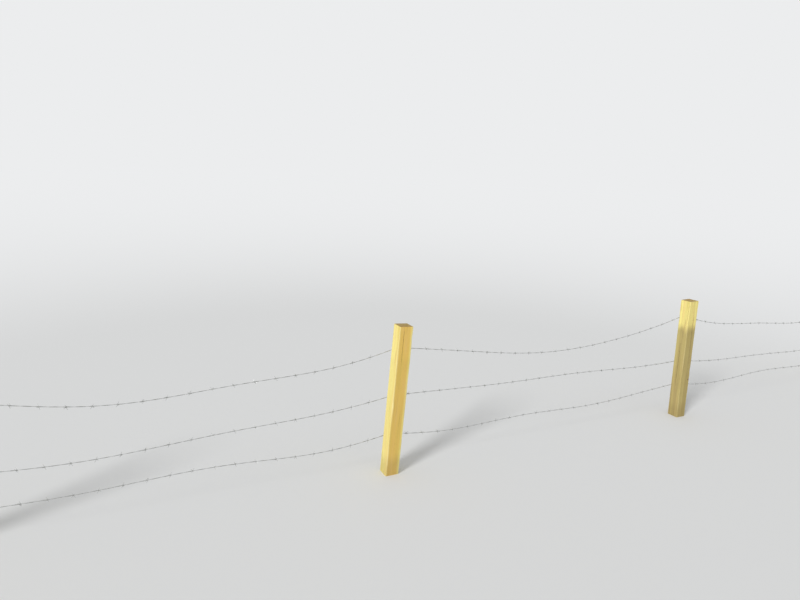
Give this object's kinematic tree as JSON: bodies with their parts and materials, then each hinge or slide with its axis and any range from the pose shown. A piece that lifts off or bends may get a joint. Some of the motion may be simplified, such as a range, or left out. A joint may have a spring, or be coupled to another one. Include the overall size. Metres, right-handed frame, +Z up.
{
  "type": "post and barbed wire fence",
  "caption": "Field fence of square sawn wooden posts standing in line, with slack strands of barbed wire stapled to one side of them.",
  "frame": {"origin": "centre of the middle post's foot, at ground level", "axes": "+X along the fence to the right as seen from the side without wire, +Y towards the side that carries the strands, +Z up"},
  "size_m": [11.7098, 0.1245, 1.0811],
  "materials": {
    "sawn_wood": "rough sawn, treated, weathering",
    "galvanised_wire": "dulled zinc",
    "staple_wire": "dulled zinc"
  },
  "bodies": {
    "root": {"post_1": "sawn_wood", "post_2": "sawn_wood", "post_3": "sawn_wood", "post_4": "sawn_wood", "post_5": "sawn_wood", "strand_top": "galvanised_wire", "strand_middle": "galvanised_wire", "strand_bottom": "galvanised_wire", "barbs_top": "galvanised_wire", "barbs_middle": "galvanised_wire", "barbs_bottom": "galvanised_wire", "end_tie_top_left": "galvanised_wire", "end_tie_top_right": "galvanised_wire", "end_tie_middle_left": "galvanised_wire", "end_tie_middle_right": "galvanised_wire", "end_tie_bottom_left": "galvanised_wire", "end_tie_bottom_right": "galvanised_wire", "staple_top_1": "staple_wire", "staple_top_2": "staple_wire", "staple_top_3": "staple_wire", "staple_top_4": "staple_wire", "staple_top_5": "staple_wire", "staple_middle_1": "staple_wire", "staple_middle_2": "staple_wire", "staple_middle_3": "staple_wire", "staple_middle_4": "staple_wire", "staple_middle_5": "staple_wire", "staple_bottom_1": "staple_wire", "staple_bottom_2": "staple_wire", "staple_bottom_3": "staple_wire", "staple_bottom_4": "staple_wire", "staple_bottom_5": "staple_wire"}
  },
  "joints": []
}
